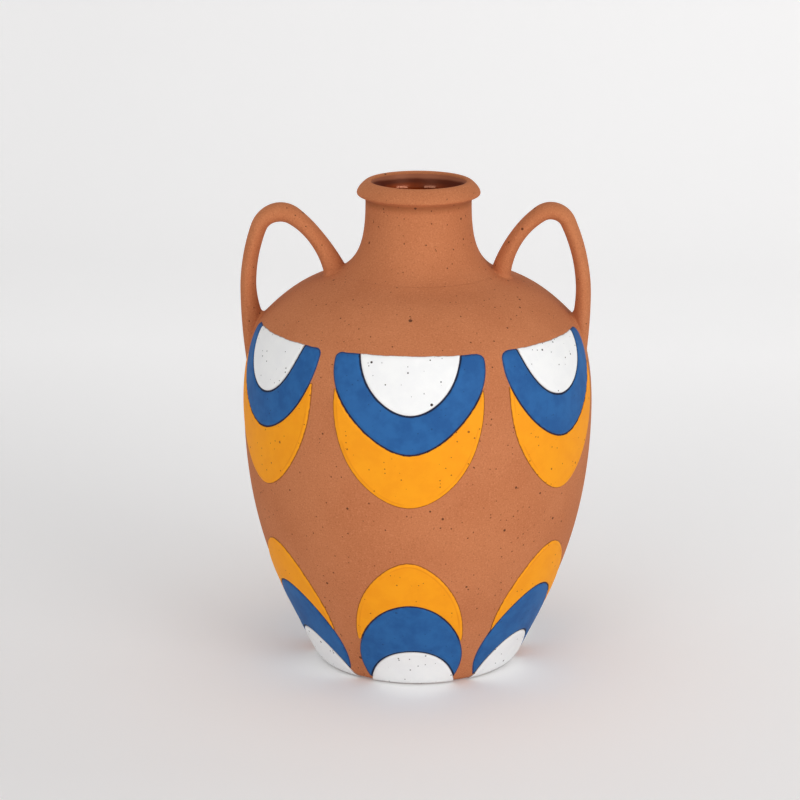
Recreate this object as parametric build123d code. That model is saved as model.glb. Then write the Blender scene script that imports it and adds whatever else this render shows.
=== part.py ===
from build123d import *
from math import cos, radians, sin
import os

# A two-handled clay jar with nested scallops of glaze round its belly.
# Millimetres, +Z up, the origin under the middle of the base. The front faces -Y, the handles stand on X.
# The jar is thrown in four sections, luted together with stepped joints: belly, shoulder, neck and lip.
# Two strap handles, a glossy lining and thirty-six raised coats of glaze complete it.

# Heights of the sections, from the crest of the lip down. The belly takes what is left above the base.
jar_height = 300.0
lip_height = 13.2
neck_height = 41.8
shoulder_height = 29.0
belly_drop = 55.0

# Radii of the outside, each from the one it grows out of
base_radius = 62.8
belly_radius = 106.6
shoulder_inset = 11.9
neck_radius = 32.0
neck_flare = 15.6

# Leans of the outside from the upright, in degrees, and how far each curve runs on along its lean
base_lean = 20.5
base_reach = 34.0
belly_reach_down = 88.0
belly_reach_up = 38.0
shoulder_edge_reach = 3.0
shoulder_lean = 44.0
shoulder_reach = 34.0
neck_root_lean = 58.5
neck_root_reach = 13.5
neck_reach = 24.0

# The wall, the floor, the round under the belly and the stepped joints between the sections
wall = 5.0
floor = 7.0
floor_corner = 12.0
base_edge = 4.5
lap = 2.5

# The rolled lip
lip_overhang = 5.2
lip_nose_rise = 6.2
lip_underside_rise = 3.6
lip_underside_inset = 0.9
lip_brow_drop = 3.6
lip_brow_inset = 1.8
crest_inset = 6.8
crest_width = 1.7
mouth_drop = 1.4

# The strap handles. The crown is the highest point of the strap's middle line: how far it stands inside
# the shoulder edge and under the lip's seat. From there the bends of the rise and the arm run down to the
# shoulder, and the bends of the crown, the leg and the foot run down to the belly.
strap_thickness = 9.6
strap_width = 16.0
arm_bend = 57.5
rise_bend = 9.5
crown_bend = 14.6
leg_bend = 108.0
foot_bend = 320.0
foot_turn = 9.0
left_crown_inset = 11.4
left_crown_drop = 7.2
left_rise_turn = 29.0
left_crown_turn = 69.6
right_crown_inset = 16.4
right_crown_drop = 4.7
right_rise_turn = 36.3
right_crown_turn = 67.0

# The glazes: raised coats on the belly with a bare line between them, and a lining inside
coat = 0.8
bare_line = 0.8
lining = 0.6
lining_drop = 2.0
base_margin = 1.2
shoulder_margin = 0.4
upper_turn = 57.5
lower_turn = 58.0

# Half outlines of the glaze fields. Each is one curve: its half width where it starts, the lean and the
# reach it starts with, and the depth of its tip and its reach there. Upper fields hang from the shoulder
# edge and lower fields stand on the base. A field with a start begins that far from there.
upper_white_width = 28.2
upper_white_lean = 4.4
upper_white_reach = 20.0
upper_white_depth = 33.0
upper_white_tip_reach = 12.6
upper_blue_width = 37.4
upper_blue_lean = -58.0
upper_blue_reach = 25.0
upper_blue_depth = 56.4
upper_blue_tip_reach = 21.6
upper_orange_start = 21.5
upper_orange_width = 43.4
upper_orange_lean = -7.0
upper_orange_reach = 38.0
upper_orange_depth = 89.0
upper_orange_tip_reach = 19.5
lower_white_width = 25.6
lower_white_lean = 0.0
lower_white_reach = 4.0
lower_white_depth = 26.4
lower_white_tip_reach = 20.5
lower_blue_start = 6.0
lower_blue_width = 25.4
lower_blue_lean = -30.0
lower_blue_reach = 30.5
lower_blue_depth = 60.5
lower_blue_tip_reach = 16.0
lower_orange_start = 34.0
lower_orange_width = 30.7
lower_orange_lean = -13.0
lower_orange_reach = 27.0
lower_orange_depth = 90.7
lower_orange_tip_reach = 17.5

# Places that follow from these sizes
lip_seat_height = jar_height - lip_height
neck_root_height = lip_seat_height - neck_height
shoulder_edge_height = neck_root_height - shoulder_height
belly_height = shoulder_edge_height - belly_drop
shoulder_edge_radius = belly_radius - shoulder_inset
neck_root_radius = neck_radius + neck_flare
lip_radius = neck_radius + lip_overhang
crest_radius = lip_radius - crest_inset

# How far the helper shapes reach past the jar
beyond = belly_radius / 2
far = belly_radius + beyond

# Reach of a curve that turns through a quarter circle, as a share of the circle's radius
quarter = 0.5523

# Turns in degrees: from level to upright, and half way round the jar
upright = 90
half_turn = 180


def lean(angle):
    """Upward direction that leans towards the axis by an angle from the upright."""
    return Vector(-sin(radians(angle)), cos(radians(angle)))


def span(start, start_lean, start_reach, end, end_lean, end_reach):
    """Curve between two points, leaving and arriving along the given leans."""
    first, last = Vector(*start), Vector(*end)
    return Bezier(first, first + lean(start_lean) * start_reach, last - lean(end_lean) * end_reach, last)


def outside_curves():
    """Outside of the wall from the base to the lip's seat."""
    base = (base_radius, 0)
    belly = (belly_radius, belly_height)
    edge = (shoulder_edge_radius, shoulder_edge_height)
    root = (neck_root_radius, neck_root_height)
    seat = (neck_radius, lip_seat_height)
    return [
        span(base, -base_lean, base_reach, belly, 0, belly_reach_down),
        span(belly, 0, belly_reach_up, edge, shoulder_lean, shoulder_edge_reach),
        span(edge, shoulder_lean, shoulder_reach, root, neck_root_lean, neck_root_reach),
        span(root, neck_root_lean, neck_root_reach, seat, 0, neck_reach),
    ]


def lip_curves():
    """Rolled lip from its seat, round its nose and up to the crest."""
    seat = (neck_radius, lip_seat_height)
    under = (lip_radius - lip_underside_inset, lip_seat_height + lip_underside_rise)
    nose = (lip_radius, lip_seat_height + lip_nose_rise)
    brow = (lip_radius - lip_brow_inset, jar_height - lip_brow_drop)
    crest = (crest_radius, jar_height)
    return [
        Line(seat, under),
        ThreePointArc(under, nose, brow),
        Bezier(brow, (crest_radius + lip_brow_inset, jar_height), crest),
    ]


def moved_in(curve, place, depth):
    """Point at a depth inside a place on a curve of the outside."""
    along = curve % place
    return curve @ place + Vector(-along.Y, along.X) * depth


def parallel_curve(depth, floor_height, steps=4):
    """Curve at a depth inside the outside, from a floor up to the mouth, with a few points a span."""
    curves = outside_curves()
    points = [moved_in(curves[0], 0, depth)]
    for curve in curves:
        points += [moved_in(curve, (step + 0.5) / steps, depth) for step in range(steps)]
    points = [point for point in points if point.Y > floor_height]
    first, second = points[0], points[1]
    foot = first + (first - second) * ((first.Y - floor_height) / (second.Y - first.Y))
    mouth = Vector(crest_radius - crest_width - (depth - wall), jar_height - mouth_drop)
    return Spline([foot] + points + [mouth])


def corner(face, place):
    """Corner of a face nearest to a place."""
    return face.vertices().sort_by_distance(Vector(*place))[0]


def filled_section():
    """Half section of the whole jar without its hollow, with the base edge rounded."""
    crest, top, middle, base = (crest_radius, jar_height), (0, jar_height), (0, 0), (base_radius, 0)
    closing = [Line(crest, top), Line(top, middle), Line(middle, base)]
    face = make_face(outside_curves() + lip_curves() + closing)
    return fillet(corner(face, base), base_edge)


def parallel_section(depth, floor_height, corner_radius):
    """Half section of the space inside the wall, or of a skin over it where the depth is negative."""
    side = parallel_curve(depth, floor_height)
    foot, mouth = side @ 0, side @ 1
    crest, top, middle = (crest_radius, jar_height), (0, jar_height), (0, floor_height)
    closing = [
        Bezier(mouth, (mouth.X, jar_height), crest),
        Line(crest, top),
        Line(top, middle),
        Line(middle, foot),
    ]
    face = make_face([side] + closing)
    return fillet(corner(face, (foot.X, foot.Y)), corner_radius)


def band(low, high):
    """Half section of all that lies between two joints, each a radius, a height and the step inside it."""
    low_radius, low_height, low_step = low
    high_radius, high_height, high_step = high
    outline = Polyline(
        (0, low_height + low_step),
        (low_radius, low_height + low_step),
        (low_radius, low_height),
        (far, low_height),
        (far, high_height),
        (high_radius, high_height),
        (high_radius, high_height + high_step),
        (0, high_height + high_step),
        close=True,
    )
    return make_face(outline)


def turned(section):
    """Solid turned from a half section."""
    return revolve(Plane.XZ * section, Axis.Z)


def sections():
    """The four thrown sections, by name."""
    jar = filled_section() - parallel_section(wall, floor, floor_corner)
    under = (base_radius, -beyond, lap)
    edge = (shoulder_edge_radius - wall / 2, shoulder_edge_height, -lap)
    root = (neck_root_radius - wall / 2, neck_root_height, -lap)
    seat = (neck_radius - wall / 2, lip_seat_height, lap)
    over = (neck_radius, jar_height + beyond, lap)
    return {
        "belly": turned(jar & band(under, edge)),
        "shoulder": turned(jar & band(edge, root)),
        "neck": turned(jar & band(root, seat)),
        "lip": turned(jar & band(seat, over)),
    }


def handle(crown_inset, crown_drop, rise_turn, crown_turn, body):
    """Strap handle on the +X side: bent arm, crown, leg and a foot that runs into the belly."""
    crown = (shoulder_edge_radius - crown_inset, lip_seat_height - crown_drop)
    rise = JernArc(crown, (-1, 0), rise_bend, rise_turn)
    arm = JernArc(rise @ 1, rise % 1, arm_bend, upright - rise_turn)
    root = Line(arm @ 1, ((arm @ 1).X, shoulder_edge_height))
    bend = JernArc(crown, (1, 0), crown_bend, -crown_turn)
    leg = JernArc(bend @ 1, bend % 1, leg_bend, crown_turn - upright)
    foot = JernArc(leg @ 1, leg % 1, foot_bend, -foot_turn)
    path = Plane.XZ * Wire([root, arm, rise, bend, leg, foot])
    across = Plane(path @ 0, x_dir=(0, 1, 0), z_dir=path % 0)
    strap = sweep(across * Ellipse(strap_width / 2, strap_thickness / 2), path)
    return strap - body


def lining_coat():
    """Glossy coat on the floor and the inside of the wall."""
    coat_section = parallel_section(wall, floor, floor_corner)
    coat_section -= parallel_section(wall + lining, floor + lining, floor_corner - lining)
    under = (base_radius, -beyond, lap)
    rim = (belly_radius, jar_height - lining_drop + lap, -lap)
    return turned(coat_section & band(under, rim))


def field(start, width, start_lean, reach, depth, tip_reach, grown=0):
    """Field symmetric about the middle line, from its straight side to its tip, grown all round if asked."""
    side, tip = Vector(width + grown, start), Vector(0, depth + grown)
    outward = side + lean(start_lean) * (reach + quarter * grown)
    level = tip + Vector(tip_reach + quarter * grown, 0)
    right = Bezier(side, outward, level, tip)
    left = mirror(right, Plane.YZ)
    return make_face([right, left, Line(left @ 0, right @ 0)])


def nested(white, blue, orange):
    """White, blue and orange fields of a set, with a bare line between them."""
    return {
        "white": field(*white),
        "blue": field(*blue) - field(*white, bare_line),
        "orange": field(*orange) - field(*blue, bare_line),
    }


def upper_fields():
    """Fields that hang from the shoulder edge."""
    hanging = nested(
        (0, upper_white_width, upper_white_lean, upper_white_reach, upper_white_depth, upper_white_tip_reach),
        (0, upper_blue_width, upper_blue_lean, upper_blue_reach, upper_blue_depth, upper_blue_tip_reach),
        (
            upper_orange_start,
            upper_orange_width,
            upper_orange_lean,
            upper_orange_reach,
            upper_orange_depth,
            upper_orange_tip_reach,
        ),
    )
    return {name: Pos(0, shoulder_edge_height) * mirror(shape, Plane.XZ) for name, shape in hanging.items()}


def lower_fields():
    """Fields that stand on the base."""
    return nested(
        (0, lower_white_width, lower_white_lean, lower_white_reach, lower_white_depth, lower_white_tip_reach),
        (
            lower_blue_start,
            lower_blue_width,
            lower_blue_lean,
            lower_blue_reach,
            lower_blue_depth,
            lower_blue_tip_reach,
        ),
        (
            lower_orange_start,
            lower_orange_width,
            lower_orange_lean,
            lower_orange_reach,
            lower_orange_depth,
            lower_orange_tip_reach,
        ),
    )


def glaze_coats():
    """Thirty-six raised coats of glaze, by name."""
    low, high = base_margin, shoulder_edge_height - shoulder_margin
    window = Pos(far / 2, (low + high) / 2) * Rectangle(far, high - low)
    over_wall = parallel_section(-coat, -coat, base_edge + coat) - filled_section()
    skin = turned(over_wall & window)
    rows = {"upper": (upper_fields(), upper_turn), "lower": (lower_fields(), lower_turn)}
    coats = {}
    for row, (fields, turn) in rows.items():
        places = {
            "front": 0,
            "front_right": turn,
            "back_right": half_turn - turn,
            "back": half_turn,
            "back_left": half_turn + turn,
            "front_left": -turn,
        }
        for colour, shape in fields.items():
            raised = skin & extrude(Plane.XZ * shape, far)
            for place, angle in places.items():
                coats[f"{row}_{colour}_{place}"] = Rot(0, 0, angle) * raised
    return coats


def jar_pieces():
    """Every piece of the jar, by name."""
    body = turned(filled_section())
    left = handle(left_crown_inset, left_crown_drop, left_rise_turn, left_crown_turn, body)
    pieces = sections()
    pieces["handle_right"] = handle(
        right_crown_inset, right_crown_drop, right_rise_turn, right_crown_turn, body
    )
    pieces["handle_left"] = mirror(left, Plane.YZ)
    pieces["glaze_lining"] = lining_coat()
    pieces.update(glaze_coats())
    return pieces


os.makedirs("parts", exist_ok=True)
for name, piece in jar_pieces().items():
    export_step(piece, f"parts/{name}.step")
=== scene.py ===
from math import cos, radians, sin

import bpy
import numpy as np
from mathutils import Euler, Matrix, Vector
from mathutils.geometry import delaunay_2d_cdt


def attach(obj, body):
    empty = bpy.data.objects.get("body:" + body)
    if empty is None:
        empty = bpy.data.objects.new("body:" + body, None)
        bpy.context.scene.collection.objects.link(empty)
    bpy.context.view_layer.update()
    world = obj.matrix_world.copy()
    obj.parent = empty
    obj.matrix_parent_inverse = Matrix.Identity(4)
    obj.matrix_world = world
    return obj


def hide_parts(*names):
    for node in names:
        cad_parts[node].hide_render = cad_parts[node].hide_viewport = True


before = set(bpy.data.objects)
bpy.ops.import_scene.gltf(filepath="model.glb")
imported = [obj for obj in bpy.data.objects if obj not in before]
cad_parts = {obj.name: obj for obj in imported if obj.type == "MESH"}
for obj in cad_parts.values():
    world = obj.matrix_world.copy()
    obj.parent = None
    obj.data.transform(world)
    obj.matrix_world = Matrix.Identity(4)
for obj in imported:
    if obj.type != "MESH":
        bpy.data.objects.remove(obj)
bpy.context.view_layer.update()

# Shapes are worked out in millimetres, in the frame of the solids, and handed to Blender in metres
MM = 0.001

# The outside of the thrown wall: radii, heights, leans from the upright and reaches along them
base_radius = 62.8
base_lean = 20.5
base_reach = 34.0
base_edge = 8.0
belly_radius = 106.6
belly_height = 161.0
belly_reach_down = 88.0
belly_reach_up = 38.0
edge_radius = 94.7
edge_height = 216.0
edge_reach = 3.0
shoulder_lean = 44.0
shoulder_reach = 34.0
neck_root_radius = 47.6
neck_root_height = 245.0
neck_root_lean = 58.5
neck_root_reach = 13.5
neck_radius = 32.0
neck_reach = 24.0
seat_height = 286.8
jar_height = 300.0
wall = 5.0
floor = 7.0
floor_corner = 12.0
lap = 2.5
lining = 0.6
lining_drop = 1.6
lining_rim = 0.1

# The rolled lip, with a hollow under it
lip_radius = 37.2
lip_nose_rise = 6.2
lip_underside_rise = 4.4
lip_underside_inset = 1.0
lip_underside_hollow = 3.2
lip_crease = 0.2
lip_brow_drop = 3.6
lip_brow_inset = 1.8
crest_radius = 30.4
crest_width = 1.7
mouth_drop = 1.4

# The strap handles, shared sizes: bends of the middle line, and how the thickness swells and thins along it
strap_width = 16.0
leg_bend = 108.0
foot_bend = 320.0
foot_turn = 9.0
crown_swell_reach = 12.0
waist = 0.25
waist_place = 38.0
waist_reach = 12.0
arm_flare_start = 22.0
arm_flare_reach = 30.0
foot_flare_start = 52.0
foot_flare_reach = 20.0
arm_root = 2.0
arm_root_least = 0.5
foot_root = 2.0

# Each handle: crown's distance from the axis and height, turns of the rise and the crown, bends of the crown,
# the rise and the arm, swell of the crown, thickness, how far the arm flares towards the neck and the foot
# towards the wall, web under the foot, and side of the jar
handles = {
    "handle_left": dict(
        crown=(83.3, 279.2), rise=33.8, turn=69.6, crown_bend=14.6, rise_bend=13.5, arm_bend=55.2,
        crown_swell=2.0, thickness=9.6, arm_flare=5.4, foot_flare=3.0, web=3.0, side=-1,
    ),
    "handle_right": dict(
        crown=(79.6, 282.4), rise=34.3, turn=65.0, crown_bend=11.5, rise_bend=10.7, arm_bend=51.2,
        crown_swell=1.2, thickness=9.1, arm_flare=3.6, foot_flare=1.2, web=4.0, side=1,
    ),
}

# Half outlines of the glaze fields: start, half width there, lean and reach of the side, depth of the tip,
# reach there, and rounding of the corner at the start
upper_fields = {
    "white": (0.7, 28.2, 4.4, 20.0, 33.0, 12.6, 0.0),
    "blue": (0.7, 42.2, -20.0, 27.0, 56.4, 19.5, 3.5),
    "orange": (20.0, 42.6, -10.0, 38.0, 89.2, 19.5, 0.4),
}
lower_fields = {
    "white": (0.8, 25.6, 0.0, 4.0, 26.4, 20.5, 0.0),
    "blue": (3.8, 24.6, -30.6, 32.2, 60.8, 21.5, 0.0),
    "orange": (33.0, 31.2, -13.0, 27.0, 90.7, 17.5, 0.5),
}

# How the hand-painted sets in front differ from these outlines: shift to the right, deeper tip, wider start,
# fuller tip, later start and turn of the sides inward
upper_hand = {
    "front": {"white": (0.6, 0.4, 0.4), "blue": (0.1, 0.7), "orange": (0.0, 0.4, 0.3, 3.0)},
    "front_right": {
        "white": (0.2, -2.4, 0.6),
        "blue": (0.4, 0.0, -2.8, 2.0, 0.0, -8.0),
        "orange": (0.6, 0.2, -0.3),
    },
    "front_left": {"white": (0.6, -0.2, -0.8), "blue": (1.4, -1.8, -3.0, 1.5), "orange": (0.3, 1.6)},
}
lower_hand = {
    "front": {"white": (1.0, -0.2, -0.7, 1.5), "blue": (0.2, 0.4), "orange": (-0.2, 0.4, 0.2)},
    "front_right": {
        "white": (0.2, 1.8, -0.8, -1.0),
        "blue": (-0.2, 1.4),
        "orange": (0.0, 0.6, -1.8, 0.0, 4.5),
    },
    "front_left": {"white": (-0.7, 1.3, 2.5, -4.5), "blue": (), "orange": (0.0, -1.0, -1.0, 0.0, 1.5)},
}

# Turns from the front sets to their neighbours, and the reach of a quarter round's handles as a share of its
# radius
upper_turn = 57.5
lower_turn = 58.0
quarter = 0.5523

# The coats' relief: height of the field, bead along its rim, low dark lines along its outer and inner edges,
# and how it sinks into the wall at its back and lies flush at the shoulder edge
coat_height = 0.55
coat_bead = 0.2
bead_place = 1.7
bead_width = 0.9
line_height = 0.12
meeting_height = 0.06
coat_sink = 0.3
coat_gap = 0.05
point_width = 0.25
line_widths = {"white": (0.0, 0.0), "blue": (0.7, 1.0), "orange": (0.5, 0.0)}
coat_round = 0.8
flush_reach = 2.5
flush_least = 0.15
meeting_fade = 3.0
far = 99.0

# The brush's unsteadiness: size, waves for each millimetre, offset for each set, and reach over which it
# comes in, or goes out under the shoulder edge
hand_drift = 0.35
drift_waves = (0.11, 0.05, 0.09)
drift_offsets = (1.7, 1.0, 2.3)
drift_reach = 20.0
top_wave = 0.1
top_waves = (0.31, 0.83)
top_offsets = (2.0, 1.0)
top_second = 0.6
top_reach = 8.0

# How finely the meshes are drawn: steps in millimetres, and counts of points
turns = 360
ring_step = 1.5
inner_step = 6.0
lip_step = 0.5
rim_step = 0.4
strap_step = 0.4
edge_step = 0.8
fill_step = 4.0
edge_rows = (0.2, 0.4, 0.65, 0.9, 1.2, 1.6, 2.2, 3.2)
row_clearance = 0.93
wall_steps = 120
base_edge_steps = 16
lip_steps = 24
crest_steps = 12
throat_steps = 8
floor_corner_steps = 12
rise_steps = 16
arm_steps = 40
crown_steps = 30
leg_steps = 30
foot_steps = 20
field_steps = 160
handle_sides = 56
handle_rings = 110
root_rows = 8
tiny = 1e-6
weld = 1e-5

# Angles in degrees over which an edge stays sharp
sharp_turned = 35.0
sharp_handle = 60.0
sharp_coat = 80.0


def srgb(red, green, blue):
    """Linear colour from the 0 to 255 values of a screen."""
    values = np.array((red, green, blue)) / 255
    linear = np.where(values <= 0.04045, values / 12.92, ((values + 0.055) / 1.055) ** 2.4)
    return (*(float(value) for value in linear), 1.0)


def lean(angle):
    """Upward direction that leans towards the axis by an angle from the upright."""
    return np.array((-sin(radians(angle)), cos(radians(angle))))


def curve(points, steps):
    """Bezier curve with the given ends and handles, as points."""
    places = np.linspace(0, 1, steps + 1)[:, None]
    rows = [np.array(point, float) + 0 * places for point in points]
    while len(rows) > 1:
        rows = [low * (1 - places) + high * places for low, high in zip(rows, rows[1:])]
    return rows[0]


def span(start, start_lean, start_reach, end, end_lean, end_reach):
    """Curve between two points, leaving and arriving along the given leans."""
    first, last = np.array(start, float), np.array(end, float)
    handles_between = (first + lean(start_lean) * start_reach, last - lean(end_lean) * end_reach)
    return curve((first, *handles_between, last), wall_steps)


def spaced(points, step):
    """The same line with points at even steps, its ends kept."""
    lengths = np.r_[0, np.cumsum(np.hypot(*np.diff(points, axis=0).T))]
    places = np.linspace(0, lengths[-1], max(2, int(round(lengths[-1] / step)) + 1))
    return np.c_[np.interp(places, lengths, points[:, 0]), np.interp(places, lengths, points[:, 1])]


def joined(*lines):
    """Lines end to end, without doubled points."""
    points = np.vstack(lines)
    keep = np.r_[True, np.hypot(*np.diff(points, axis=0).T) > tiny]
    return points[keep]


# The outside of the wall, section by section
belly_side = joined(
    span((base_radius, 0), -base_lean, base_reach, (belly_radius, belly_height), 0, belly_reach_down),
    span(
        (belly_radius, belly_height), 0, belly_reach_up,
        (edge_radius, edge_height), shoulder_lean, edge_reach,
    ),
)
round_foot = curve(
    ((base_radius - base_edge, 0), (base_radius, 0), spaced(belly_side, base_edge)[1]), base_edge_steps
)
belly_line = joined(round_foot, belly_side[belly_side[:, 1] > round_foot[-1, 1]])
shoulder_line = span(
    (edge_radius, edge_height), shoulder_lean, shoulder_reach,
    (neck_root_radius, neck_root_height), neck_root_lean, neck_root_reach,
)
neck_line = span(
    (neck_root_radius, neck_root_height), neck_root_lean, neck_root_reach,
    (neck_radius, seat_height), 0, neck_reach,
)
wall_line = joined(belly_line, shoulder_line, neck_line)
wall_slope = np.gradient(wall_line[:, 0], wall_line[:, 1])


def wall_radius(height):
    """Radius of the outside at a height."""
    return np.interp(height, wall_line[:, 1], wall_line[:, 0])


def wall_normal(place):
    """Outward normals of the outside at places near it."""
    slope = np.interp(place[:, 2], wall_line[:, 1], wall_slope)
    normal = np.c_[place[:, :2] / np.hypot(*place[:, :2].T)[:, None], -slope]
    return normal / np.linalg.norm(normal, axis=1)[:, None]


def inside(line, depth):
    """Line moved in by a depth."""
    along = np.gradient(line, axis=0)
    along /= np.hypot(*along.T)[:, None]
    return line + np.c_[-along[:, 1], along[:, 0]] * depth


def new_piece(name, places, faces, node, material, sharp):
    """Mesh object from places in millimetres, standing for a node of the frame."""
    mesh = bpy.data.meshes.new(name)
    mesh.from_pydata((np.asarray(places) * MM).tolist(), [], faces)
    mesh.validate()
    mesh.shade_smooth()
    mesh.set_sharp_from_angle(angle=radians(sharp))
    mesh.materials.append(material)
    piece = bpy.data.objects.new(name + "_look", mesh)
    bpy.context.scene.collection.objects.link(piece)
    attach(piece, "root")
    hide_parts(node)
    return piece


def turned(name, outline, material):
    """Piece turned from a closed half outline, counterclockwise in radius and height."""
    angles = np.linspace(0, 2 * np.pi, turns, endpoint=False)
    on_axis = outline[:, 0] < tiny
    places, rings = [], []
    for (radius, height), pole in zip(outline, on_axis):
        count = 1 if pole else turns
        rings.append(range(len(places), len(places) + count))
        around = angles[:count]
        places += np.c_[radius * np.sin(around), -radius * np.cos(around), np.full(count, height)].tolist()
    faces = []
    for low, high in zip(rings, rings[1:] + rings[:1]):
        if len(low) == 1 and len(high) == 1:
            continue
        for i in range(turns):
            j = (i + 1) % turns
            if len(low) == 1:
                faces.append((low[0], high[j], high[i]))
            elif len(high) == 1:
                faces.append((low[i], low[j], high[0]))
            else:
                faces.append((low[i], low[j], high[j], high[i]))
    return new_piece(name, places, faces, name, material, sharp_turned)


def section_outlines():
    """Closed half outlines of the four thrown sections, by name."""
    inner = inside(wall_line, wall)
    mouth = np.array((crest_radius - crest_width, jar_height - mouth_drop))
    belly_top = np.array((edge_radius - wall / 2, edge_height))
    root_top = np.array((neck_root_radius - wall / 2, neck_root_height))
    seat_top = np.array((neck_radius - wall / 2, seat_height))

    def inner_between(low, high):
        """Inside of the wall between two heights, from the top down."""
        part = inner[(inner[:, 1] > low) & (inner[:, 1] < high)]
        ordered = part[np.argsort(-part[:, 1])]
        return spaced(ordered, inner_step)

    step = np.array((0, -lap))
    belly = joined(
        [(0, 0), (base_radius / 2, 0)],
        round_foot[::2],
        spaced(belly_line[len(round_foot) - 1 :], ring_step)[1:],
        [belly_top, belly_top + step],
        inner_between(floor + floor_corner, edge_height - lap),
        [(base_radius - wall, floor + floor_corner / 4), (base_radius / 2, floor), (0, floor)],
    )
    shoulder = joined(
        spaced(shoulder_line, ring_step),
        [root_top, root_top + step],
        inner_between(edge_height - lap, neck_root_height - lap),
        [belly_top + step, belly_top],
    )
    neck = joined(
        spaced(neck_line, ring_step),
        [seat_top, seat_top - step],
        inner_between(neck_root_height - lap, seat_height + lap),
        [root_top + step, root_top],
    )
    under = np.array((lip_radius - lip_underside_inset, seat_height + lip_underside_rise))
    crease = np.array((neck_radius - lip_crease, seat_height + lip_underside_hollow))
    nose = np.array((lip_radius, seat_height + lip_nose_rise))
    brow = np.array((lip_radius - lip_brow_inset, jar_height - lip_brow_drop))
    crest = np.array((crest_radius, jar_height))
    arc_handle = 2 * nose - (under + brow) / 2
    lip = joined(
        spaced(curve(((neck_radius, seat_height), crease, under), lip_steps), rim_step),
        spaced(curve((under, arc_handle, brow), lip_steps), lip_step),
        spaced(curve((brow, (crest_radius + lip_brow_inset, jar_height), crest), lip_steps), lip_step),
        spaced(curve((crest, (mouth[0], jar_height), mouth), crest_steps), rim_step),
        spaced(curve((mouth, (neck_radius - wall, seat_height + lap)), throat_steps), ring_step),
        [seat_top - step, seat_top],
    )
    return {"belly": belly, "shoulder": shoulder, "neck": neck, "lip": lip}


def lining_outline():
    """Closed half outline of the glossy lining, from the floor up into the mouth, where it thins out."""
    def shell(depth, level, rim_depth):
        """One side of the lining, at a depth under the wall's outside and a level over the ground."""
        side = inside(wall_line, depth)
        side = side[side[:, 1] > level + floor_corner]
        side = side[np.argsort(side[:, 1])]
        corner_ends = (base_radius - 2 * depth, level), (base_radius - depth / 2, level), side[0]
        corner = curve(corner_ends, floor_corner_steps)
        side = side[side[:, 1] < seat_height]
        throat = np.array((neck_radius - wall, seat_height + lap))
        mouth = np.array((crest_radius - crest_width, jar_height - mouth_drop))
        rim = throat + (mouth - throat) * (jar_height - lining_drop - throat[1]) / (mouth[1] - throat[1])
        top = [throat - (depth - wall, 0), rim - (rim_depth, 0)]
        return joined([(0, level), (base_radius / 2, level)], corner, spaced(joined(side, top), ring_step))

    outer, inner = shell(wall, floor, 0.0), shell(wall + lining, floor + lining, lining_rim)
    return joined(outer, inner[::-1])


def arc(start, heading, radius, turn, steps):
    """Points of an arc that leaves a start along a heading and turns, leftwards if the turn is positive."""
    side = 1 if turn > 0 else -1
    toward = heading + side * np.pi / 2
    centre = np.array(start) + radius * np.array((cos(toward), sin(toward)))
    swept = toward + np.pi + np.linspace(0, turn, steps + 1)
    return centre + radius * np.c_[np.cos(swept), np.sin(swept)]


def strap_line(crown, rise, turn, crown_bend, rise_bend, arm_bend):
    """Middle line of a handle in radius and height, from deep in the shoulder over the crown to the foot."""
    near = arc(crown, np.pi, rise_bend, radians(rise), rise_steps)
    arm = arc(near[-1], np.pi + radians(rise), arm_bend, radians(90 - rise), arm_steps)
    root = (arm[-1][0], edge_height)
    bend = arc(crown, 0.0, crown_bend, -radians(turn), crown_steps)
    leg = arc(bend[-1], -radians(turn), leg_bend, -radians(90 - turn), leg_steps)
    foot = arc(leg[-1], -radians(90), foot_bend, -radians(foot_turn), foot_steps)
    return spaced(joined([root], arm[::-1], near[::-1], bend, leg, foot), strap_step)


def strap_sides(line, crown_swell, thickness, arm_flare, foot_flare):
    """Distances of a handle's outer and inner side from its middle line: fuller at the crown, thinner under
    it, with the arm flaring outwards towards the neck and the foot inwards towards the wall."""
    travel = np.r_[0, np.cumsum(np.hypot(*np.diff(line, axis=0).T))]
    past = travel - travel[np.argmax(line[:, 1])]
    swell = crown_swell * np.exp(-((past / crown_swell_reach) ** 2))
    thin = waist * np.exp(-(((past - waist_place) / waist_reach) ** 2))
    half = (thickness + swell - thin) / 2
    outer = half + arm_flare * np.clip((-past - arm_flare_start) / arm_flare_reach, 0, 1) ** 2
    inner = half + foot_flare * np.clip((past - foot_flare_start) / foot_flare_reach, 0, 1) ** 2
    return outer[:, None], inner[:, None]


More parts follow.
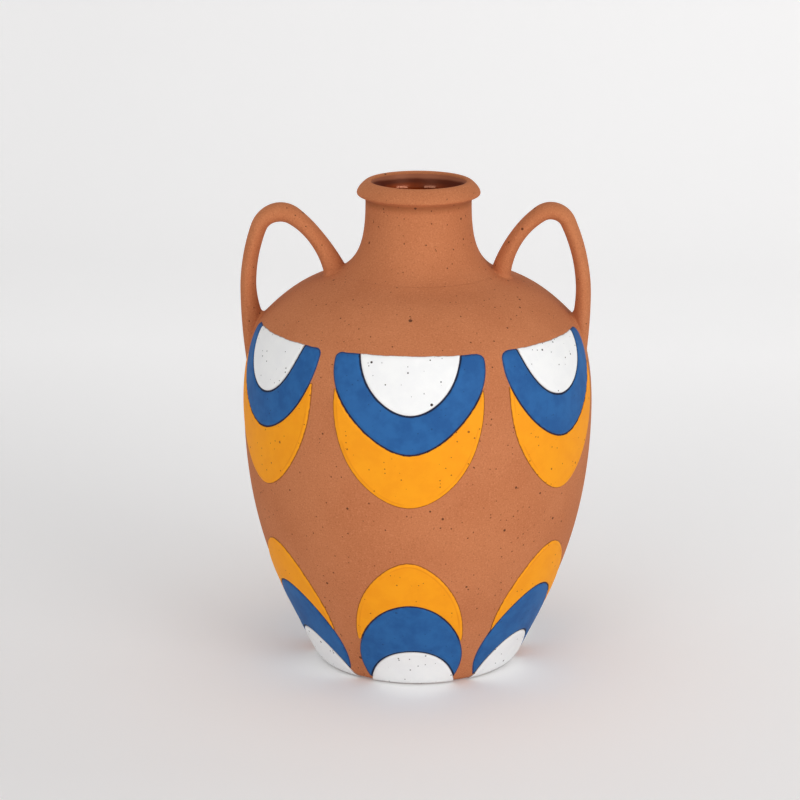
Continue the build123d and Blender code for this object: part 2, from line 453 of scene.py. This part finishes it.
def handle(
    name, material, crown, rise, turn, crown_bend, rise_bend, arm_bend, crown_swell, thickness,
    arm_flare, foot_flare, web, side,
):
    """Strap handle with soft roots, a closed tube whose ends lie just under the wall's outside."""
    line = strap_line(crown, rise, turn, crown_bend, rise_bend, arm_bend)
    along = np.gradient(line, axis=0)
    along /= np.hypot(*along.T)[:, None]
    across = np.c_[-along[:, 1], along[:, 0]]
    outer, inner = strap_sides(line, crown_swell, thickness, arm_flare, foot_flare)
    columns = []
    for phase in np.linspace(0, 2 * np.pi, handle_sides, endpoint=False):
        under = max(0.0, -sin(phase))
        arm_size = arm_root * (arm_root_least + under)
        foot_size = foot_root + web * under**2
        offset = across * (outer if sin(phase) > 0 else inner) * sin(phase)
        breadth = np.full(len(line), strap_width / 2 * cos(phase))
        places = np.c_[line[:, 0] + offset[:, 0], breadth, line[:, 1] + offset[:, 1]]
        level = np.full(len(line), cos(phase))
        outward = np.c_[across[:, 0] * sin(phase), level, across[:, 1] * sin(phase)]
        clear = np.hypot(places[:, 0], places[:, 1]) > wall_radius(places[:, 2])
        first, last = np.flatnonzero(clear)[[0, -1]]
        travel = np.r_[0, np.cumsum(np.linalg.norm(np.diff(places, axis=0), axis=1))]
        begin, end = travel[first] + arm_size, travel[last] - foot_size
        middle_places = np.linspace(begin, end, handle_rings)
        middle = np.c_[[np.interp(middle_places, travel, places[:, k]) for k in range(3)]].T

        def root(index, size, heading):
            """Soft run from the strap onto the wall round it."""
            hit, out = places[index], outward[index]
            normal = wall_normal(hit[None])[0]
            onward = heading - normal * (heading @ normal)
            away = out - normal * (out @ normal) + onward * max(0.0, out @ normal)
            away /= max(np.linalg.norm(away), tiny)
            land = hit + away * size
            low = wall_radius(land[2]) - coat_sink
            land[:2] *= low / np.hypot(*land[:2])
            return hit, land

        tangent = np.c_[along[:, 0], np.zeros(len(line)), along[:, 1]]
        hit, land = root(first, arm_size, -tangent[first])
        arm_run = curve((land, hit, middle[0]), root_rows)[:-1]
        hit, land = root(last, foot_size, tangent[last])
        foot_run = curve((middle[-1], hit, land), root_rows)[1:]
        columns.append(np.vstack((arm_run, middle, foot_run)))
    grid = np.array(columns).transpose(1, 0, 2)
    grid[..., 0] *= side
    rows = len(grid)
    places = grid.reshape(-1, 3).tolist()
    faces = []
    for row in range(rows - 1):
        low, high = row * handle_sides, (row + 1) * handle_sides
        for i in range(handle_sides):
            j = (i + 1) % handle_sides
            quad = (low + i, low + j, high + j, high + i)
            faces.append(quad if side > 0 else quad[::-1])
    for row, forward in ((0, False), (rows - 1, True)):
        middle = grid[row].mean(0)
        middle[:2] *= (wall_radius(middle[2]) - wall / 2) / np.hypot(*middle[:2])
        places.append(middle.tolist())
        low = row * handle_sides
        for i in range(handle_sides):
            j = (i + 1) % handle_sides
            face = (low + i, low + j, len(places) - 1)
            faces.append(face if forward == (side > 0) else face[::-1])
    return new_piece(name, places, faces, name, material, sharp_handle)


def varied(field, shift=0.0, deeper=0.0, wider=0.0, fuller=0.0, later=0.0, inward=0.0):
    """Field's outline as the hand painted it."""
    start, width, start_lean, reach, depth, tip_reach, corner = field
    side = (start + later, width + wider, start_lean + inward, reach)
    tip = (depth + deeper, tip_reach + fuller)
    return (*side, *tip, corner, shift)


def half_curve(start, width, start_lean, reach, depth, tip_reach, corner, grown):
    """Right half of a field's outline, from its straight side to its tip."""
    first, tip = np.array((width + grown, start)), np.array((0.0, depth + grown))
    outward = first + lean(start_lean) * (reach + quarter * grown)
    flat = tip + np.array((tip_reach + quarter * grown, 0))
    line = curve((first, outward, flat, tip), field_steps)
    if corner:
        left_over = np.clip(1 - (line[:, 1] - start) / corner, 0, 1)
        line[:, 0] -= corner * (1 - np.sqrt(1 - left_over**2))
    return line


def whole_curve(field, grown=0.0):
    """Field's outline from its right end over the tip to its left end."""
    *half, shift = field
    right = half_curve(*half, grown)
    left = right[::-1] * (-1, 1)
    return joined(right, left) + np.array((shift, 0.0))


def field_outline(field, within=None):
    """Closed outline of a field, as evenly spaced points. It starts where it leaves the field within it."""
    outer = whole_curve(field)
    if within is None:
        closing = np.array((outer[-1], outer[0]))
        return joined(spaced(outer, edge_step), spaced(closing, edge_step)[1:-1])
    *half, shift = within
    edge = half_curve(*half, coat_gap)
    half_width = np.interp(outer[:, 1], edge[:, 1], edge[:, 0])
    clear = np.flatnonzero(np.abs(outer[:, 0] - shift) > half_width + point_width)
    first, last = clear[0], clear[-1]
    outer, half_width = outer[first : last + 1], half_width[first : last + 1]
    inner = whole_curve(within, coat_gap)
    above = inner[:, 1] > np.where(inner[:, 0] > shift, outer[0, 1], outer[-1, 1])
    right_start = (shift + half_width[0], outer[0, 1])
    left_start = (shift - half_width[-1], outer[-1, 1])
    inner = joined([right_start], inner[above], [left_start])[::-1]
    left_end = np.array((outer[-1], inner[0]))
    right_end = np.array((inner[-1], outer[0]))
    return joined(
        spaced(outer, edge_step),
        spaced(left_end, edge_step)[1:],
        spaced(inner, edge_step)[1:],
        spaced(right_end, edge_step)[1:-1],
    )


def edge_distance(points, outline):
    """Distance of points from a closed outline."""
    start, end = outline, np.roll(outline, -1, axis=0)
    run = end - start
    offset = points[:, None] - start[None]
    share = np.clip((offset * run).sum(2) / (run * run).sum(1), 0, 1)
    return np.linalg.norm(offset - share[..., None] * run, axis=2).min(1)


def filled(outline):
    """Points and triangles that fill a closed outline, fine along its edge."""
    along = np.roll(outline, -1, axis=0) - np.roll(outline, 1, axis=0)
    along /= np.hypot(*along.T)[:, None]
    inward = np.c_[-along[:, 1], along[:, 0]]
    inner = [np.empty((0, 2))]
    for row, depth in enumerate(edge_rows):
        row_points = (outline + inward * depth)[row % 2 :: 1 + row // 3]
        inner.append(row_points[edge_distance(row_points, outline) > row_clearance * depth])
    low, high = outline.min(0), outline.max(0)
    ticks = [np.arange(a, b, fill_step) for a, b in zip(low, high)]
    grid = np.stack(np.meshgrid(*ticks), -1).reshape(-1, 2)
    inner.append(grid[edge_distance(grid, outline) > edge_rows[-1] + fill_step / 3])
    points = np.vstack([outline] + inner)
    ring = [(i, (i + 1) % len(outline)) for i in range(len(outline))]
    inside_only = 1
    whole = [list(range(len(outline)))]
    made = delaunay_2d_cdt([Vector(p) for p in points], ring, whole, inside_only, weld)
    return np.array([tuple(p) for p in made[0]]), [tuple(face) for face in made[2]]


def painted(field, within, next_start):
    """A field's points and triangles, with each point's distance from the outer and inner edges, and how far
    the outer edge there meets the next field instead of the bare clay."""
    points, faces = filled(field_outline(field, within))
    outer = edge_distance(points, whole_curve(field))
    inner = np.full(len(points), far)
    if within is not None:
        inner = edge_distance(points, whole_curve(within, coat_gap))
    meets = np.clip((points[:, 1] - next_start) / meeting_fade, 0, 1)
    return points, faces, outer, inner, meets


def coat_lift(outer, inner, meets, lines):
    """Height of a coat over the wall: a low line along each edge, a rounded rim and a bead."""
    reach = np.minimum(outer - lines[0], inner - lines[1])
    rise = np.clip(reach / coat_round, 0, 1)
    field = line_height + (coat_height - line_height) * np.sqrt(1 - (1 - rise) ** 2)
    bead = coat_bead * np.exp(-(((reach - bead_place) / bead_width) ** 2)) * rise
    at_edge = np.clip(np.minimum(outer, inner) / edge_rows[0], 0, 1)
    meeting = np.where(inner < outer, 1.0, meets)
    edge = meeting * meeting_height - (1 - meeting) * coat_sink / 2
    return (field + bead) * at_edge + edge * (1 - at_edge)


def coat(name, fill, lines, upper, turn, seed, material):
    """Raised coat of glaze on the wall, closed at its back just under the wall's outside."""
    points, faces, outer, inner, meets = fill
    x, depth = points.T
    ways = (depth, x, x)
    down, over, back_and_forth = (
        np.sin(wave * way + offset * seed) for wave, way, offset in zip(drift_waves, ways, drift_offsets)
    )
    coming_in = np.clip(points[:, 1:] / drift_reach, 0, 1)
    flat = points + hand_drift * np.c_[down * over, back_and_forth] * coming_in
    lift = coat_lift(outer, inner, meets, lines)
    if upper:
        first, second = (np.sin(wave * x + offset * seed) for wave, offset in zip(top_waves, top_offsets))
        flat[:, 1] += top_wave * (first + top_second * second) * np.clip(1 - depth / top_reach, 0, 1)
        lift *= np.clip(flush_least + flat[:, 1] / flush_reach, 0, 1)
    heights = edge_height - flat[:, 1] if upper else flat[:, 1]
    radius = wall_radius(heights)
    on_wall = np.c_[flat[:, 0], -np.sqrt(radius**2 - flat[:, 0] ** 2), heights]
    normal = wall_normal(on_wall)
    front = on_wall + normal * lift[:, None]
    back = on_wall - normal * coat_sink
    c, s = cos(radians(turn)), sin(radians(turn))
    around = np.array(((c, -s, 0), (s, c, 0), (0, 0, 1)))
    places = np.vstack((front, back)) @ around.T
    count = len(points)
    sides = dict.fromkeys((a, b) for face in faces for a, b in zip(face, face[1:] + face[:1]))
    rim = [(a, b) for a, b in sides if (b, a) not in sides]
    corner = places[list(faces[0])]
    outward = np.cross(corner[1] - corner[0], corner[2] - corner[0]) @ (normal[faces[0][0]] @ around.T)
    closed = list(faces)
    closed += [tuple(i + count for i in reversed(face)) for face in faces]
    closed += [(b, a, a + count, b + count) for a, b in rim]
    if outward < 0:
        closed = [tuple(reversed(face)) for face in closed]
    piece = new_piece(name, places, closed, name, material, sharp_coat)
    for label, values in (("outer", outer), ("inner", inner), ("meets", meets)):
        layer = piece.data.attributes.new(label, "FLOAT", "POINT")
        layer.data.foreach_set("value", np.r_[values, values].astype(np.float32))
    return piece


def glaze_coats(materials):
    """All coats: six sets that hang from the shoulder edge and six that stand on the base."""
    rows = {"upper": (upper_fields, upper_hand, upper_turn), "lower": (lower_fields, lower_hand, lower_turn)}
    fills = {}
    for row, (fields, hand, turn) in rows.items():
        places = {
            "front": 0,
            "front_right": turn,
            "back_right": 180 - turn,
            "back": 180,
            "back_left": 180 + turn,
            "front_left": -turn,
        }
        next_starts = [field[0] for field in fields.values()][1:] + [far]
        for seed, (place, angle) in enumerate(places.items()):
            within = None
            for (colour, field), next_start in zip(fields.items(), next_starts):
                own = varied(field, *hand.get(place, {}).get(colour, ()))
                if (own, within) not in fills:
                    fills[own, within] = painted(own, within, next_start)
                coat(
                    f"{row}_{colour}_{place}", fills[own, within], line_widths[colour], row == "upper",
                    angle, seed, materials[colour],
                )
                within = own


# The sockets of a Mix node that hold its share and its colours, and how softly a speck's edge fades
mix_inputs = (0, 6, 7)
mix_output = 2
speck_softness = 0.25


class Nodes:
    """Short way to write a material's nodes."""

    def __init__(self, name):
        self.material = bpy.data.materials.new(name)
        self.material.use_nodes = True
        self.tree = self.material.node_tree
        self.shader = self.tree.nodes["Principled BSDF"]

    def add(self, kind, settings=None, **inputs):
        """Node with its settings and inputs, where an input is a value or another node's socket."""
        made = self.tree.nodes.new("ShaderNode" + kind)
        for key, value in (settings or {}).items():
            setattr(made, key, value)
        for key, value in inputs.items():
            name = key.replace("_", " ")
            socket = made.inputs[int(name[1:])] if name[1:].isdigit() else made.inputs[name]
            self.feed(socket, value)
        return made

    def feed(self, socket, value):
        """Puts a value or a link into a socket."""
        if isinstance(value, bpy.types.NodeSocket):
            self.tree.links.new(value, socket)
        else:
            socket.default_value = value

    def math(self, operation, first, second=0.0, third=0.0):
        """Result of a sum on numbers or sockets."""
        made = self.add("Math", {"operation": operation}, i0=first, i1=second, i2=third)
        return made.outputs[0]

    def fade(self, value, low, high):
        """0 under the low value, 1 over the high one, smooth between."""
        made = self.add(
            "MapRange", {"interpolation_type": "SMOOTHSTEP"},
            Value=value, From_Min=low, From_Max=high, To_Min=0.0, To_Max=1.0,
        )
        return made.outputs["Result"]

    def mix(self, share, first, second):
        """Colour between two colours."""
        made = self.add("Mix", {"data_type": "RGBA"})
        for place, value in zip(mix_inputs, (share, first, second)):
            self.feed(made.inputs[place], value)
        return made.outputs[mix_output]

    def noise(self, place, size, detail=2.0, rough=0.5):
        """Noise with features of a size in millimetres."""
        made = self.add("TexNoise", Vector=place, Scale=1 / (size * MM), Detail=detail, Roughness=rough)
        return made.outputs["Fac"]

    def specks(self, place, cell, share, largest):
        """Round specks, one in some of the cells of a size in millimetres, up to a largest radius."""
        cells = self.add("TexVoronoi", Vector=place, Scale=1 / (cell * MM))
        chance = self.add("SeparateColor", Color=cells.outputs["Color"]).outputs[0]
        radius = self.math("MULTIPLY", self.math("SUBTRACT", chance, 1 - share), largest / cell / share)
        within = self.math("SUBTRACT", radius, cells.outputs["Distance"])
        return self.fade(within, 0.0, speck_softness * largest / cell)

    def iron(self, colour, place, speck_colour, strength):
        """Colour with the clay's iron specks in it, from fine to coarse."""
        for cell, share, largest in iron_specks:
            mask = self.specks(place, cell, share, largest)
            colour = self.mix(self.math("MULTIPLY", mask, strength), colour, speck_colour)
        return colour

    def bump(self, height, depth, strength):
        """Surface relief of a depth in millimetres."""
        made = self.add("Bump", Height=height, Strength=strength, Distance=depth * MM)
        self.feed(self.shader.inputs["Normal"], made.outputs["Normal"])

    def finish(self, colour, roughness, specular):
        """Colour, roughness and shine of the surface."""
        self.feed(self.shader.inputs["Base Color"], colour)
        self.feed(self.shader.inputs["Roughness"], roughness)
        self.shader.inputs["Specular IOR Level"].default_value = specular
        return self.material


# Colours, as they look on a screen
clay = srgb(195, 121, 79)
clay_deep = srgb(189, 115, 74)
clay_sand = srgb(216, 145, 102)
clay_pore = srgb(152, 86, 54)
# Painted shade for the crease under the lip
clay_crease_shade = srgb(134, 74, 42)
iron_brown = srgb(66, 32, 20)
iron_grey = srgb(58, 46, 42)
iron_amber = srgb(140, 70, 16)
white = srgb(244, 244, 243)
white_deep = srgb(240, 240, 240)
white_line = srgb(118, 70, 48)
blue = srgb(40, 99, 160)
blue_deep = srgb(32, 86, 146)
blue_line = srgb(20, 34, 62)
navy_purple = srgb(40, 34, 58)
orange = srgb(249, 160, 17)
orange_deep = srgb(245, 154, 15)
orange_trough = srgb(226, 134, 12)
orange_line = srgb(116, 58, 24)
brown = srgb(164, 62, 6)
brown_deep = srgb(104, 32, 3)
# Painted shade for the band inside the mouth
brown_mouth_shade = srgb(88, 22, 0)
brown_shine = srgb(255, 182, 148)
# Thin glaze near the rim, partly painted light
thin_glaze_and_painted_light = srgb(160, 94, 66)

# Iron specks: cell that holds one speck in millimetres, share of cells with one, largest radius
iron_specks = ((3.2, 0.7, 0.6), (7.0, 0.7, 1.0), (15.0, 0.7, 1.4))

# Broad tones, sand and pores of the clay: sizes in millimetres, noise values between which each fades in, and
# strengths. A bump is a depth and a strength. Pores are specks without colour
tone_fade = (0.35, 0.65)
clay_tone_size = 40.0
clay_tone_detail = 3.0
clay_sand_size = 0.9
sand_detail = 2.0
sand_rough = 0.6
sand_fade = (0.52, 0.75)
pore_fade = (0.48, 0.25)
sand_strength = 0.45
clay_speck_strength = 0.8
pore_specks = (1.8, 0.5, 0.3)
pore_share = 0.8
clay_bump = (0.12, 0.7)
clay_roughness = 0.88
matt_shine = 0.2

# Painted shade in the crease under the lip, a darker clay tone that stands in for the shadow there: radius
# that it stays within, heights between which it comes and goes, and strength
crease_shade_radius = 36.0
crease_shade_heights = (seat_height - 3.0, seat_height + 2.2, seat_height + 4.2)
crease_shade_strength = 0.6


def terracotta():
    """Matt sandy clay: broad tones, fine sand and pores, painted shade in the crease under the lip, and iron
    specks.
    """
    n = Nodes("terracotta")
    place = n.add("TexCoord").outputs["Object"]
    tone = n.fade(n.noise(place, clay_tone_size, clay_tone_detail), *tone_fade)
    colour = n.mix(tone, clay_deep, clay)
    sand = n.noise(place, clay_sand_size, sand_detail, sand_rough)
    colour = n.mix(n.math("MULTIPLY", n.fade(sand, *sand_fade), sand_strength), colour, clay_sand)
    colour = n.mix(n.math("MULTIPLY", n.fade(sand, *pore_fade), sand_strength), colour, clay_pore)
    # Painted shade: the clay darkens in the crease under the lip, close round the neck
    spot = n.add("SeparateXYZ", Vector=place).outputs
    across = n.math("MULTIPLY_ADD", spot["X"], spot["X"], n.math("MULTIPLY", spot["Y"], spot["Y"]))
    by_neck = n.fade(across, (crease_shade_radius * MM) ** 2, (neck_radius * MM) ** 2)
    low, darkest, high = (height * MM for height in crease_shade_heights)
    crease = n.math("MULTIPLY", n.fade(spot["Z"], low, darkest), n.fade(spot["Z"], high, darkest))
    crease = n.math("MULTIPLY", n.math("MULTIPLY", crease, by_neck), crease_shade_strength)
    colour = n.mix(crease, colour, clay_crease_shade)
    colour = n.iron(colour, place, iron_brown, clay_speck_strength)
    pores = n.specks(place, *pore_specks)
    n.bump(n.math("SUBTRACT", sand, n.math("MULTIPLY", pores, pore_share)), *clay_bump)
    return n.finish(colour, clay_roughness, matt_shine)


# Mottling, ragged edges and sand of the matt glazes, and the trough along the orange fields' rims
mottle_size = 12.0
mottle_detail = 5.0
mottle_rough = 0.65
mottle_fade = (0.34, 0.64)
trough_place = 2.5
trough_fade = (0.1, 0.7)
trough_patch_size = 30.0
trough_patch_fade = (0.42, 0.58)
trough_strength = 0.5
ragged_size = 2.5
ragged_detail = 3.0
ragged_middle = 0.5
ragged_reach = 0.7
glaze_sand_size = 0.8
glaze_relief_share = 0.5
glaze_bump = (0.1, 0.6)
glaze_roughness = 0.65

# Each matt glaze: its two tones, the dark lines along its outer and inner edges, how strong the outer line
# is against the bare clay and against the next field, its specks, and any trough. A line is a colour and the
# distances between which it fades. Specks are a colour and how strong they show
glazes = {
    "white": dict(
        field=white, deep=white_deep,
        outer_line=(white_line, 0.1, 0.6), inner_line=(white_line, 0.0, 0.1),
        edge_shares=(0.8, 0.2), speck=(iron_grey, 1.0),
    ),
    "blue": dict(
        field=blue, deep=blue_deep,
        outer_line=(navy_purple, 0.55, 1.05), inner_line=(blue_line, 0.85, 1.35),
        edge_shares=(0.6, 1.0), speck=(blue_line, 0.4),
    ),
    "orange": dict(
        field=orange, deep=orange_deep,
        outer_line=(orange_line, 0.3, 0.8), inner_line=(navy_purple, 0.0, 0.3),
        edge_shares=(0.9, 0.9), speck=(iron_amber, 0.85), trough=orange_trough,
    ),
}


def glaze(name, field, deep, outer_line, inner_line, edge_shares, speck, trough=None):
    """Matt glaze: mottled, with the clay's specks, and with dark lines along its edges."""
    n = Nodes(name)
    place = n.add("TexCoord").outputs["Object"]
    outer, inner, meets = (
        n.add("Attribute", {"attribute_name": label}).outputs["Fac"] for label in ("outer", "inner", "meets")
    )
    mottle = n.noise(place, mottle_size, mottle_detail, mottle_rough)
    colour = n.mix(n.fade(mottle, *mottle_fade), deep, field)
    colour = n.iron(colour, place, *speck)
    if trough:
        away = n.math("ABSOLUTE", n.math("SUBTRACT", outer, trough_place))
        near = n.math("SUBTRACT", 1.0, n.fade(away, *trough_fade))
        patches = n.fade(n.noise(place, trough_patch_size), *trough_patch_fade)
        colour = n.mix(n.math("MULTIPLY", near, n.math("MULTIPLY", patches, trough_strength)), colour, trough)
    ragged = n.math("SUBTRACT", n.noise(place, ragged_size, ragged_detail), ragged_middle)
    ragged = n.math("MULTIPLY", ragged, ragged_reach)
    tone, low, high = inner_line
    colour = n.mix(n.fade(n.math("ADD", inner, ragged), low, high), tone, colour)
    tone, low, high = outer_line
    on_clay, on_field = edge_shares
    strength = n.math("MULTIPLY_ADD", meets, on_field - on_clay, on_clay)
    share = n.math("SUBTRACT", 1.0, n.fade(n.math("ADD", outer, ragged), low, high))
    colour = n.mix(n.math("MULTIPLY", share, strength), colour, tone)
    sand = n.noise(place, glaze_sand_size, sand_detail, sand_rough)
    fine, broad = (n.math("MULTIPLY", relief, glaze_relief_share) for relief in (sand, mottle))
    n.bump(n.math("ADD", fine, broad), *glaze_bump)
    return n.finish(colour, glaze_roughness, matt_shine)


# The glossy lining: runs in its colour, and the heights between which it darkens to a band of painted shade,
# goes dull and thins to a film that is partly thin glaze and partly painted light. The film starts in waves,
# and lower at the back as painted light, by a drop that grows between two places
run_stretch = (1.0, 1.0, 0.25)
run_size = 14.0
run_detail = 3.0
back_lit_places = (6.0, 26.0)
back_lit_drop = 1.1
film_wave_size = 9.0
film_wave = 1.0
thin_and_lit_heights = (296.6, 298.2)
mouth_shade_heights = (291.6, 294.2)
dull_heights = (290.8, 292.6)
gloss_wave_size = 6.0
gloss_bump = (0.15, 0.3)
gloss_roughness = 0.06
dull_roughness = 0.4
gloss_shine = 0.75


def glossy_brown():
    """Glossy red-brown glaze of the inside, thinning out to a satin film in the mouth that is partly painted
    light and lower at the back, with a band of painted shade under it.
    """
    n = Nodes("brown_glaze")
    place = n.add("TexCoord").outputs["Object"]
    runs = n.add("Mapping", Vector=place, Scale=run_stretch).outputs["Vector"]
    colour = n.mix(n.fade(n.noise(runs, run_size, run_detail), *tone_fade), brown_deep, brown)
    spot = n.add("SeparateXYZ", Vector=place).outputs
    # Painted light: the pale film reaches lower at the back of the mouth
    back_lit = n.fade(spot["Y"], *(way * MM for way in back_lit_places))
    rise = n.math("ADD", spot["Z"], n.math("MULTIPLY", back_lit, back_lit_drop * MM))
    film = n.math("MULTIPLY_ADD", n.noise(place, film_wave_size), film_wave * MM, rise)
    thin = n.fade(film, *(level * MM for level in thin_and_lit_heights))
    # Painted shade: a darker band inside the mouth, under the pale film
    mouth_shade = n.fade(spot["Z"], *(level * MM for level in mouth_shade_heights))
    dull = n.fade(spot["Z"], *(level * MM for level in dull_heights))
    colour = n.mix(thin, n.mix(mouth_shade, colour, brown_mouth_shade), thin_glaze_and_painted_light)
    n.bump(n.noise(place, gloss_wave_size), *gloss_bump)
    n.shader.inputs["Specular Tint"].default_value = brown_shine
    return n.finish(colour, n.math("MULTIPLY_ADD", dull, dull_roughness, gloss_roughness), gloss_shine)


# The stage: a pale floor that sweeps up into a backdrop
floor_front = -7.0
floor_back = 1.1
sweep_radius = 0.9
stage_top = 3.2
stage_half_width = 7.0
stage_colour = srgb(242, 241, 241)
stage_glow_near = 0.05
stage_glow_far = 0.28
stage_glow_reach = (-0.2, 0.75)
stage_glow_side = 0.04
stage_glow_half_width = 0.5
stage_roughness = 0.9
sweep_steps = 24
plain_white = (1.0, 1.0, 1.0, 1.0)


def stage():
    """Floor and backdrop in one sheet. It takes the jar's shadow, and a little glow only for the eye."""
    bend = np.linspace(0, np.pi / 2, sweep_steps + 1)
    line = [(floor_front, 0.0)]
    line += [(floor_back + sweep_radius * sin(a), sweep_radius * (1 - cos(a))) for a in bend]
    line.append((floor_back + sweep_radius, stage_top))
    places = [(side * stage_half_width, y, z) for y, z in line for side in (-1, 1)]
    faces = [(2 * i, 2 * i + 1, 2 * i + 3, 2 * i + 2) for i in range(len(line) - 1)]
    mesh = bpy.data.meshes.new("backdrop")
    mesh.from_pydata(places, [], faces)
    mesh.shade_smooth()
    n = Nodes("backdrop")
    light_path = n.add("LightPath")
    seen = n.math("MAXIMUM", light_path.outputs["Is Camera Ray"], light_path.outputs["Is Glossy Ray"])
    spot = n.add("SeparateXYZ", Vector=n.add("TexCoord").outputs["Object"])
    near, far_off = stage_glow_reach
    depth = n.add(
        "MapRange", Value=spot.outputs["Y"], From_Min=near, From_Max=far_off,
        To_Min=stage_glow_near, To_Max=stage_glow_far,
    ).outputs["Result"]
    side = n.add(
        "MapRange", Value=spot.outputs["X"], From_Min=-stage_glow_half_width, From_Max=stage_glow_half_width,
        To_Min=-stage_glow_side, To_Max=stage_glow_side,
    ).outputs["Result"]
    n.feed(n.shader.inputs["Emission Strength"], n.math("MULTIPLY", seen, n.math("ADD", depth, side)))
    n.shader.inputs["Emission Color"].default_value = plain_white
    mesh.materials.append(n.finish(stage_colour, stage_roughness, matt_shine))
    backdrop = bpy.data.objects.new("backdrop", mesh)
    bpy.context.scene.collection.objects.link(backdrop)


# The camera: where it stands round the jar's axis, and how it is turned from facing the axis
camera_distance = 1.5
camera_height = 0.5801
camera_round = 3.15
camera_yaw = 0.4171
camera_pitch = 15.5471
camera_roll = 0.1271
camera_lens = 113.965
camera_sensor = 36.0

# Soft lamps: degrees round from the camera, degrees up, distance, width, height and power
lamps = {
    "lamp_right": (44.0, 10.0, 1.8, 0.95, 0.6, 11.5),
    "lamp_left": (-30.0, 11.0, 1.8, 0.9, 0.6, 6.7),
    "lamp_top": (0.0, 84.0, 1.8, 1.4, 1.4, 3.5),
}
lamp_target = (0.0, 0.0, 0.16)
sky_strength = 0.52


def round_the_jar(angle, distance, height):
    """Place at a distance from the jar's axis, at an angle from the front towards the right."""
    return Vector((distance * sin(radians(angle)), -distance * cos(radians(angle)), height))


def camera():
    """Camera at the photograph's view, turned without shift."""
    data = bpy.data.cameras.new("camera")
    data.lens = camera_lens
    data.sensor_width = camera_sensor
    made = bpy.data.objects.new("camera", data)
    made.location = round_the_jar(camera_round, camera_distance, camera_height)
    facing = Euler((radians(90 - camera_pitch), 0, radians(camera_round + camera_yaw)))
    roll = Euler((0, 0, radians(camera_roll)))
    made.rotation_euler = (facing.to_matrix() @ roll.to_matrix()).to_euler()
    bpy.context.scene.collection.objects.link(made)
    bpy.context.scene.camera = made


def lights():
    """Soft lamps and an even pale sky."""
    for name, (angle, up, distance, width, height, power) in lamps.items():
        data = bpy.data.lights.new(name, "AREA")
        data.shape = "RECTANGLE"
        data.size = width
        data.size_y = height
        data.energy = power
        made = bpy.data.objects.new(name, data)
        flat, rise = distance * cos(radians(up)), distance * sin(radians(up))
        made.location = round_the_jar(camera_round + angle, flat, lamp_target[2] + rise)
        made.rotation_euler = (Vector(lamp_target) - made.location).to_track_quat("-Z", "Y").to_euler()
        bpy.context.scene.collection.objects.link(made)
    world = bpy.data.worlds.new("sky")
    world.use_nodes = True
    sky = world.node_tree.nodes["Background"]
    sky.inputs["Color"].default_value = plain_white
    sky.inputs["Strength"].default_value = sky_strength
    bpy.context.scene.world = world


clay_finish = terracotta()
for section, outline in section_outlines().items():
    turned(section, outline, clay_finish)
turned("glaze_lining", lining_outline(), glossy_brown())
for handle_name, sizes in handles.items():
    handle(handle_name, clay_finish, **sizes)
glaze_coats({colour: glaze(f"{colour}_glaze", **looks) for colour, looks in glazes.items()})
stage()
camera()
lights()
bpy.context.scene.view_settings.view_transform = "Standard"
